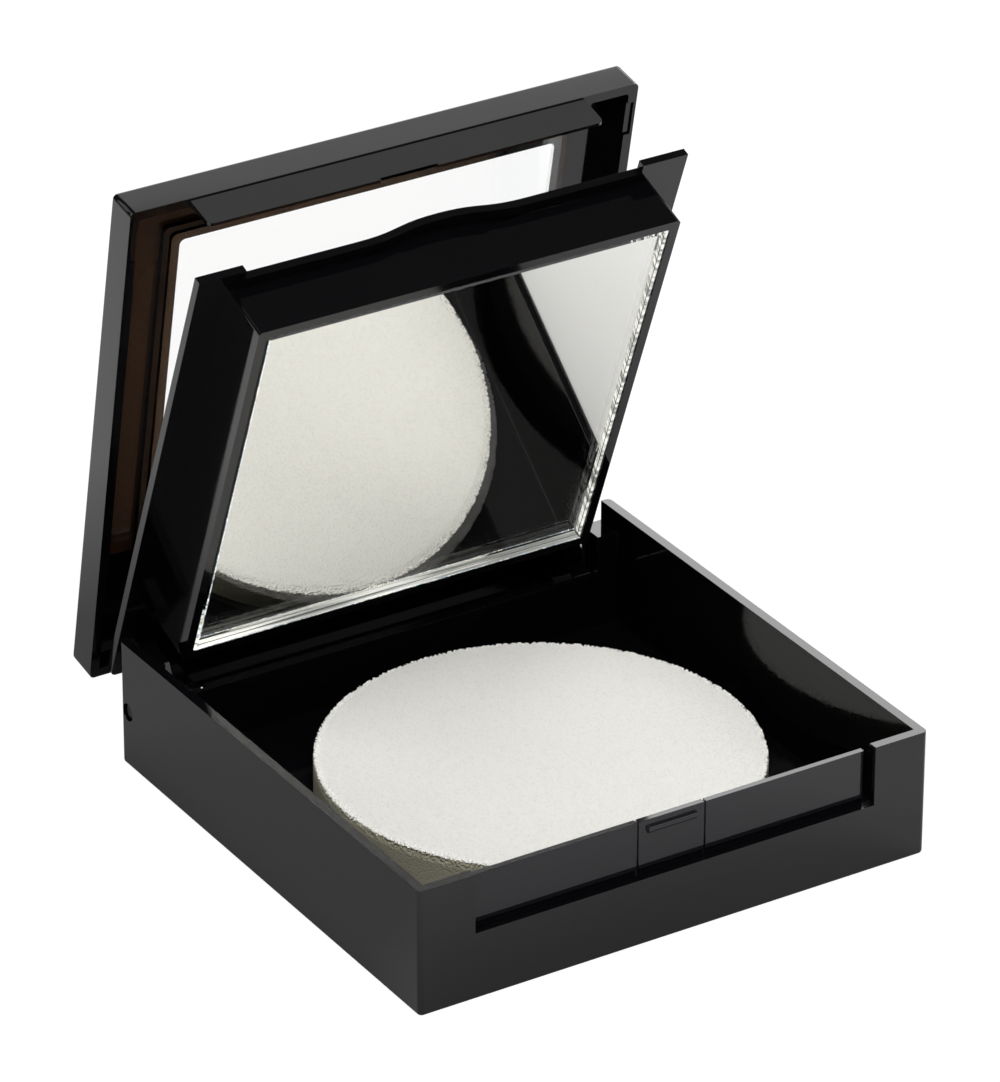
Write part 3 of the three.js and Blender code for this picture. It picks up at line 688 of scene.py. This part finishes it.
def make_floor():
    """A pale floor that reads as clean white, with the faintest shadow, and a painted shadow that makes it
    dimmer close by.
    """
    half = FLOOR_HALF
    corners = [(x, y, FLOOR_HEIGHT) for x, y in ((-half, -half), (half, -half), (half, half), (-half, half))]
    floor = object_from("studio_floor", corners, [(0, 1, 2, 3)])
    material, shader = bare_material("Studio floor", (0.86, 0.86, 0.86), 0.8)
    shader.inputs["Specular IOR Level"].default_value = 0.0
    nodes, link = material.node_tree.nodes, material.node_tree.links.new
    place = nodes.new("ShaderNodeTexCoord")
    # Painted shadow: the floor's colour is darker near the case, as a contact shadow seen in the case's
    # reflections.
    far = nodes.new("ShaderNodeVectorMath")
    far.operation = "DISTANCE"
    far.inputs[1].default_value = FLOOR_SHADOW_CENTRE
    link(place.outputs["Object"], far.inputs[0])
    spread = spread_over(nodes, link, far.outputs["Value"], FLOOR_SHADOW_NEAR, FLOOR_SHADOW_FAR)
    two_tone(material, shader, spread.outputs["Result"], (FLOOR_SHADOW,) * 3, (FLOOR_PALE,) * 3)
    share = nodes.new("ShaderNodeMath")
    share.operation = "MULTIPLY"
    share.inputs[1].default_value = FLOOR_WHITE_SHARE
    link(seen_directly(nodes, link), share.inputs[0])
    glow = nodes.new("ShaderNodeEmission")
    glow.inputs["Strength"].default_value = FLOOR_WHITE
    mix = nodes.new("ShaderNodeMixShader")
    link(share.outputs[0], mix.inputs[0])
    link(shader.outputs[0], mix.inputs[1])
    link(glow.outputs[0], mix.inputs[2])
    link(mix.outputs[0], nodes["Material Output"].inputs["Surface"])
    floor.data.materials.append(material)


def make_sky():
    """A dim room that is white wherever it is seen directly."""
    world = bpy.data.worlds.new("Studio")
    world.use_nodes = True
    nodes, link = world.node_tree.nodes, world.node_tree.links.new
    spread = spread_over(nodes, link, seen_directly(nodes, link), 0.0, 1.0, ROOM_LIGHT, 1.0)
    link(spread.outputs["Result"], nodes["Background"].inputs["Strength"])
    nodes["Background"].inputs["Color"].default_value = (1.0, 1.0, 1.0, 1.0)
    bpy.context.scene.world = world


class COMPACT_OT_stage(bpy.types.Operator):
    """Camera, soft studio light and floor"""

    bl_idname = "compact.stage"
    bl_label = "Stage"

    def execute(self, context):
        make_camera()
        make_floor()
        make_sky()
        for softbox in SOFTBOXES:
            make_softbox(*softbox)
        context.scene.view_settings.view_transform = "Standard"
        return {"FINISHED"}


# ---------------------------------------------------------------- case
THIN_PANEL_REAR = 20 * MM   # rear end of the lid's thin panel, with the case shut
LID_PANEL = 0.9 * MM        # the lid's thickness round the window
ON_PANEL = 0.05 * MM        # a face this near the panel's inside lies on it
INNER_WALL = 1.0 * MM       # a face deeper than this in the base is on a wall's inside
PANE_RADIUS = 0.2 * MM
LATCH_RADIUS_SHARE = 0.7    # the latch wall's edge radius, as a share of the base's and lid's
TRAY_RADIUS_SHARE = 1.7     # and the tray's


def shell(node, name, body, material, radius, paint=None):
    """A black moulding with real edge radii, in place of its plain node, painted first if asked."""
    piece = merged_copy(node, name)
    piece.data.materials.append(material)
    if paint:
        paint(piece)
    round_edges(piece, radius)
    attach(piece, body)
    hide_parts(node)
    return piece


def split_at(piece, point, normal):
    """Cuts the faces along a plane, and keeps both sides."""
    bm = bmesh.new()
    bm.from_mesh(piece.data)
    geometry = bm.verts[:] + bm.edges[:] + bm.faces[:]
    bmesh.ops.bisect_plane(bm, geom=geometry, plane_co=point, plane_no=normal)
    bm.to_mesh(piece.data)
    bm.free()


def paint_backlight_on_thin_panel(piece, material):
    """Paints the inside of the lid's thin panel brown, on the left of the window only: painted backlight,
    standing in for light that shines through the thin panel from behind.
    """
    piece.data.materials.append(material)
    place = opened(LID_OPEN)
    shut = place.inverted()
    high = closed_box("lid_frame", LID_OPEN)[1]
    panel = high.z - LID_PANEL
    split_at(piece, (0, 0, 0), (1, 0, 0))
    split_at(piece, place @ Vector((0, THIN_PANEL_REAR, 0)), place.to_3x3() @ Vector((0, 1, 0)))
    for face in piece.data.polygons:
        middle = shut @ face.center
        inward = shut.to_3x3() @ face.normal
        on_left = middle.x < 0 and middle.y < THIN_PANEL_REAR
        if on_left and abs(middle.z - panel) < ON_PANEL and inward.z < -0.9:
            face.material_index = 1


def paint_inner_wall_shade(piece, material):
    """Gives the upright faces inside the base a weaker reflection: painted shade inside the base."""
    piece.data.materials.append(material)
    low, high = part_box("base_shell")
    for face in piece.data.polygons:
        middle, upright = face.center, abs(face.normal.z) < 0.3
        inside_x = abs(middle.x) < high.x - INNER_WALL
        inside_y = low.y + INNER_WALL < middle.y < high.y - INNER_WALL
        if upright and inside_x and inside_y:
            face.material_index = 1


class COMPACT_OT_case(bpy.types.Operator):
    """Base, latch wall, tray and lid mouldings in gloss black plastic"""

    bl_idname = "compact.case"
    bl_label = "Case Mouldings"

    def execute(self, context):
        sizes, colors = context.scene.compact_sizes, context.scene.compact_colors
        skin = moulded_skin_group()
        black = gloss_plastic("Gloss black plastic", colors.plastic, skin)
        # Painted backlight for the lid's thin panel, on the left of the window.
        thin = gloss_plastic("Black plastic painted backlight", colors.painted_backlight, skin)
        # Weaker reflection on the base's inside walls: painted shade in the recess.
        inner = gloss_plastic("Inner black plastic painted shade", colors.plastic, skin, shine=0.16)
        # The latch wall's lighter colour is a painted reflection.
        latch = gloss_plastic("Thin gloss wall painted reflection", colors.latch, skin)
        radius = sizes.edge_radius
        shell(
            "base_shell", "base_case", "base", black, radius,
            paint=lambda piece: paint_inner_wall_shade(piece, inner),
        )
        shell("latch_panel", "latch_wall", "base", latch, radius * LATCH_RADIUS_SHARE)
        shell("tray_shell", "tray_case", "tray", black, radius * TRAY_RADIUS_SHARE)
        shell(
            "lid_frame", "lid_case", "lid", black, radius,
            paint=lambda piece: paint_backlight_on_thin_panel(piece, thin),
        )
        return {"FINISHED"}


class COMPACT_OT_window(bpy.types.Operator):
    """Clear pane in the lid"""

    bl_idname = "compact.window"
    bl_label = "Lid Window"

    def execute(self, context):
        skin = bpy.data.node_groups["Moulded skin"]
        pane = merged_copy("lid_window", "window_pane")
        pane.data.materials.append(clear_plastic("Clear plastic", (0.98, 0.985, 0.985), skin))
        round_edges(pane, PANE_RADIUS)
        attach(pane, "lid")
        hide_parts("lid_window")
        return {"FINISHED"}


# ---------------------------------------------------------------- mirror
BACKING_BORDER = 0.12 * MM   # painted line outside the silvering
GLASS_CHAMFER = 0.28 * MM
CHIP_INSET = 0.3 * MM        # the chips' line, in from the glass's edge
CHIP_SIZE = 0.16 * MM


def glass_slab(low, high, place):
    """A glass block with a ground chamfer round its front face, which looks down when shut."""
    rings = [
        (GLASS_CHAMFER, low.z),
        (0.0, low.z + GLASS_CHAMFER),
        (0.0, high.z),
        (BACKING_BORDER, high.z),
    ]
    vertices = []
    for inset, z in rings:
        x0, x1, y0, y1 = low.x + inset, high.x - inset, low.y + inset, high.y - inset
        vertices += [place @ Vector(p) for p in ((x0, y0, z), (x1, y0, z), (x1, y1, z), (x0, y1, z))]
    faces = [(3, 2, 1, 0), (12, 13, 14, 15)]   # the front, then the silvered back
    for ring in range(len(rings) - 1):
        for i in range(4):
            a, b = ring * 4 + i, ring * 4 + (i + 1) % 4
            faces.append((a, b, b + 4, a + 4))
    return vertices, faces


def paint_mirror(pane):
    """Clear front and chamfer, ground side walls, a painted border and a silvered back."""
    skin = bpy.data.node_groups["Moulded skin"]
    for material in (
        glass_material(),
        silver_material(skin),
        ground_wall_glow_material(),
        bare_material("Backing paint", (0.02, 0.02, 0.022), 0.4)[0],
    ):
        pane.data.materials.append(material)
    faces = pane.data.polygons
    faces[1].material_index = 1
    for ring, slot in ((1, 2), (2, 3)):
        for face in faces[2 + 4 * ring:6 + 4 * ring]:
            face.material_index = slot


def chip_line(low, high, place):
    """The line of the ground chips: the glass's left and rear edges, with the case shut."""
    left, right = low.x + CHIP_INSET, high.x - CHIP_INSET
    front, rear = low.y + CHIP_INSET, high.y - CHIP_INSET
    return [place @ Vector((x, y, low.z)) for x, y in ((left, front), (left, rear), (right, rear))]


class COMPACT_OT_mirror(bpy.types.Operator):
    """Thick mirror glass, silvered behind, with a ground front edge"""

    bl_idname = "compact.mirror"
    bl_label = "Mirror"

    def execute(self, context):
        low, high = closed_box("mirror_glass", TRAY_OPEN)
        place = opened(TRAY_OPEN)
        pane = object_from("mirror_pane", *glass_slab(low, high, place))
        paint_mirror(pane)
        recalculated(pane)
        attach(pane, "tray")
        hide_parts("mirror_glass")

        edge = object_from("mirror_edge", chip_line(low, high, place), [], [(0, 1), (1, 2)])
        run_tree(edge, chip_tree(), {
            "Chip": CHIP_SIZE,
            "Seed": context.scene.compact_sizes.chip_seed,
            "Material": chip_glint_material(),
        })
        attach(edge, "tray")
        return {"FINISHED"}


# ---------------------------------------------------------------- powder
POWDER_CELLS = 200          # mesh cells across the powder
EMBOSS_DEPTH = 0.05 * MM
PAN_RADIUS = 0.1 * MM


def block_with_fine_top(low, high, cells):
    """A closed block whose top is a grid."""
    count = cells + 1
    step_x, step_y = (high.x - low.x) / cells, (high.y - low.y) / cells
    vertices = [
        Vector((low.x + i * step_x, low.y + j * step_y, high.z))
        for j in range(count) for i in range(count)
    ]
    faces = [
        (j * count + i, j * count + i + 1, (j + 1) * count + i + 1, (j + 1) * count + i)
        for j in range(cells) for i in range(cells)
    ]
    rim = list(range(cells))
    rim += [j * count + cells for j in range(cells)]
    rim += [cells * count + i for i in range(cells, 0, -1)]
    rim += [j * count for j in range(cells, 0, -1)]
    start = len(vertices)
    vertices += [Vector((vertices[i].x, vertices[i].y, low.z)) for i in rim]
    total = len(rim)
    for k in range(total):
        n = (k + 1) % total
        faces.append((rim[k], start + k, start + n, rim[n]))
    faces.append(tuple(start + k for k in reversed(range(total))))
    return vertices, faces


class COMPACT_OT_powder(bpy.types.Operator):
    """Pressed powder in its pan, and the pads behind the pan and the mirror"""

    bl_idname = "compact.powder"
    bl_label = "Powder"

    def execute(self, context):
        sizes, colors = context.scene.compact_sizes, context.scene.compact_colors
        skin = bpy.data.node_groups["Moulded skin"]
        grain = open_pores_group()
        low, high = closed_box("powder_cake", TRAY_OPEN)
        cake = object_from("pressed_powder", *block_with_fine_top(low, high, POWDER_CELLS))
        run_tree(cake, emboss_tree(), {
            "Pitch": sizes.emboss_pitch,
            "Depth": EMBOSS_DEPTH,
            "Top": high.z,
            "Material": powder_material(colors.powder, grain),
        })
        cake.data.transform(opened(TRAY_OPEN))
        recalculated(cake)
        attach(cake, "tray")
        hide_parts("powder_cake")

        dish = merged_copy("powder_pan", "powder_dish")
        dish.data.materials.append(satin_metal("Pressed aluminium", (0.78, 0.79, 0.8), 0.3, skin))
        round_edges(dish, PAN_RADIUS)
        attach(dish, "tray")
        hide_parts("powder_pan")

        tape, shader = bare_material("Foam tape", (0.82, 0.82, 0.78), 0.85)
        dots = place_group(tape, grain, {"Pore Scale": 4000.0})
        add_bump(tape, shader, dots.outputs["Pores"], 0.2, 0.03 * MM)
        for node in ("mirror_pad", "pan_pad"):
            pad = frame["nodes"][node]
            pad.data.materials.clear()
            pad.data.materials.append(tape)
        return {"FINISHED"}


# ---------------------------------------------------------------- sponge
SPONGE_EDGE = 0.2 * MM         # radius of the top's edge
SPONGE_TURNS = 1300            # mesh segments round the sponge
SPONGE_RIM_WIDTH = 2 * MM      # band inside the rim with the finest rings
SPONGE_MIDDLE_STEP = 1.2 * MM  # between the rings of the smooth middle
SPONGE_UNDER_STEP = 3 * MM     # between the rings of the underside
SPONGE_SHADE_TOP = 0.25 * MM     # the painted shade on the sponge's side starts this far below the top


def sponge_profile(radius, bottom, top, step):
    """Half section from the middle of the top, round the edge, to the middle of the underside."""
    edge = SPONGE_EDGE
    middle = radius - edge - SPONGE_RIM_WIDTH
    count = int(middle / SPONGE_MIDDLE_STEP)
    points = [(middle * i / count, top) for i in range(1, count + 1)]
    fine = int(SPONGE_RIM_WIDTH / step)
    points += [(middle + SPONGE_RIM_WIDTH * i / fine, top) for i in range(1, fine + 1)]
    for i in range(1, 4):
        a = math.pi / 2 * (1 - i / 3)
        points.append((radius - edge + edge * math.cos(a), top - edge + edge * math.sin(a)))
    side = int((top - bottom - 2 * edge) / step)
    points += [(radius, top - edge - (top - bottom - 2 * edge) * i / side) for i in range(1, side + 1)]
    points.append((radius - edge, bottom))
    under = int((radius - edge) / SPONGE_UNDER_STEP)
    points += [((radius - edge) * (1 - i / under), bottom) for i in range(1, under)]
    return points


def revolved(profile, centre, top, bottom, turns):
    """The profile turned round the centre's upright line, closed at both middles."""
    vertices = [Vector((centre.x, centre.y, top))]
    for r, z in profile:
        for k in range(turns):
            a = math.tau * k / turns
            vertices.append(Vector((centre.x + r * math.cos(a), centre.y + r * math.sin(a), z)))
    vertices.append(Vector((centre.x, centre.y, bottom)))
    faces = [(0, 1 + k, 1 + (k + 1) % turns) for k in range(turns)]
    for ring in range(len(profile) - 1):
        a, b = 1 + ring * turns, 1 + (ring + 1) * turns
        faces += [(a + k, b + k, b + (k + 1) % turns, a + (k + 1) % turns) for k in range(turns)]
    last, end = 1 + (len(profile) - 1) * turns, len(vertices) - 1
    faces += [(end, last + (k + 1) % turns, last + k) for k in range(turns)]
    return vertices, faces


class COMPACT_OT_sponge(bpy.types.Operator):
    """Round latex foam applicator with an open-pored surface"""

    bl_idname = "compact.sponge"
    bl_label = "Sponge"

    def execute(self, context):
        sizes, colors = context.scene.compact_sizes, context.scene.compact_colors
        low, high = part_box("sponge")
        centre = (low + high) / 2
        radius = (high.x - low.x) / 2
        profile = sponge_profile(radius, low.z, high.z, sizes.pore_spacing)
        puff = object_from("foam_puff", *revolved(profile, centre, high.z, low.z, SPONGE_TURNS))
        pores = bpy.data.node_groups["Open pores"]
        run_tree(puff, pore_tree(), {
            "Pore Depth": sizes.pore_depth,
            "Top Centre": (centre.x, centre.y, high.z),
            "Radius": radius,
            "Material": foam_material("Latex foam", colors.foam, pores),
        })
        recalculated(puff)
        # The side's darker tone is painted shade.
        puff.data.materials.append(foam_material("Foam side painted shade", colors.foam_side_shade, pores))
        for face in puff.data.polygons:
            if face.center.z < high.z - SPONGE_SHADE_TOP and abs(face.normal.z) < 0.8:
                face.material_index = 1
        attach(puff, "base")
        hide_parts("sponge")
        return {"FINISHED"}


# ---------------------------------------------------------------- hinge pins
PIN_EDGE = 0.05 * MM


class COMPACT_OT_hinge_pins(bpy.types.Operator):
    """Nearly black steel for the two hinge pins: painted shade that stands in for their dark holes"""

    bl_idname = "compact.hinge_pins"
    bl_label = "Hinge Pins"

    def execute(self, context):
        skin = bpy.data.node_groups["Moulded skin"]
        # The steel's near-black colour is painted shade for the pins' dark holes.
        steel = satin_metal("Drawn steel", (0.06, 0.06, 0.065), 0.4, skin)
        for node in ("hinge_pin_left", "hinge_pin_right"):
            pin = merged_copy(node, node.replace("hinge_pin", "pin"))
            pin.data.materials.append(steel)
            round_edges(pin, PIN_EDGE, segments=2)
            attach(pin, "base")
            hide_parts(node)
        return {"FINISHED"}


# ---------------------------------------------------------------- add-on
class COMPACT_PT_panel(bpy.types.Panel):
    """The compact's settings and builders"""

    bl_label = "Powder Compact"
    bl_idname = "COMPACT_PT_panel"
    bl_space_type = "VIEW_3D"
    bl_region_type = "UI"
    bl_category = "Compact"

    def draw(self, context):
        column = self.layout.column()
        for settings in (context.scene.compact_sizes, context.scene.compact_colors):
            for key in settings.__annotations__:
                column.prop(settings, key)
        for operator in OPERATORS:
            column.operator(operator.bl_idname)


OPERATORS = (
    COMPACT_OT_stage,
    COMPACT_OT_case,
    COMPACT_OT_window,
    COMPACT_OT_mirror,
    COMPACT_OT_powder,
    COMPACT_OT_sponge,
    COMPACT_OT_hinge_pins,
)
CLASSES = (CompactSizes, CompactColors, *OPERATORS, COMPACT_PT_panel)


def register():
    for cls in CLASSES:
        bpy.utils.register_class(cls)
    bpy.types.Scene.compact_sizes = PointerProperty(type=CompactSizes)
    bpy.types.Scene.compact_colors = PointerProperty(type=CompactColors)


def unregister():
    del bpy.types.Scene.compact_colors
    del bpy.types.Scene.compact_sizes
    for cls in reversed(CLASSES):
        bpy.utils.unregister_class(cls)


def main():
    register()
    bpy.ops.compact.stage()
    bpy.ops.compact.case()
    bpy.ops.compact.window()
    bpy.ops.compact.mirror()
    bpy.ops.compact.powder()
    bpy.ops.compact.sponge()
    bpy.ops.compact.hinge_pins()


if __name__ == "__main__":
    main()
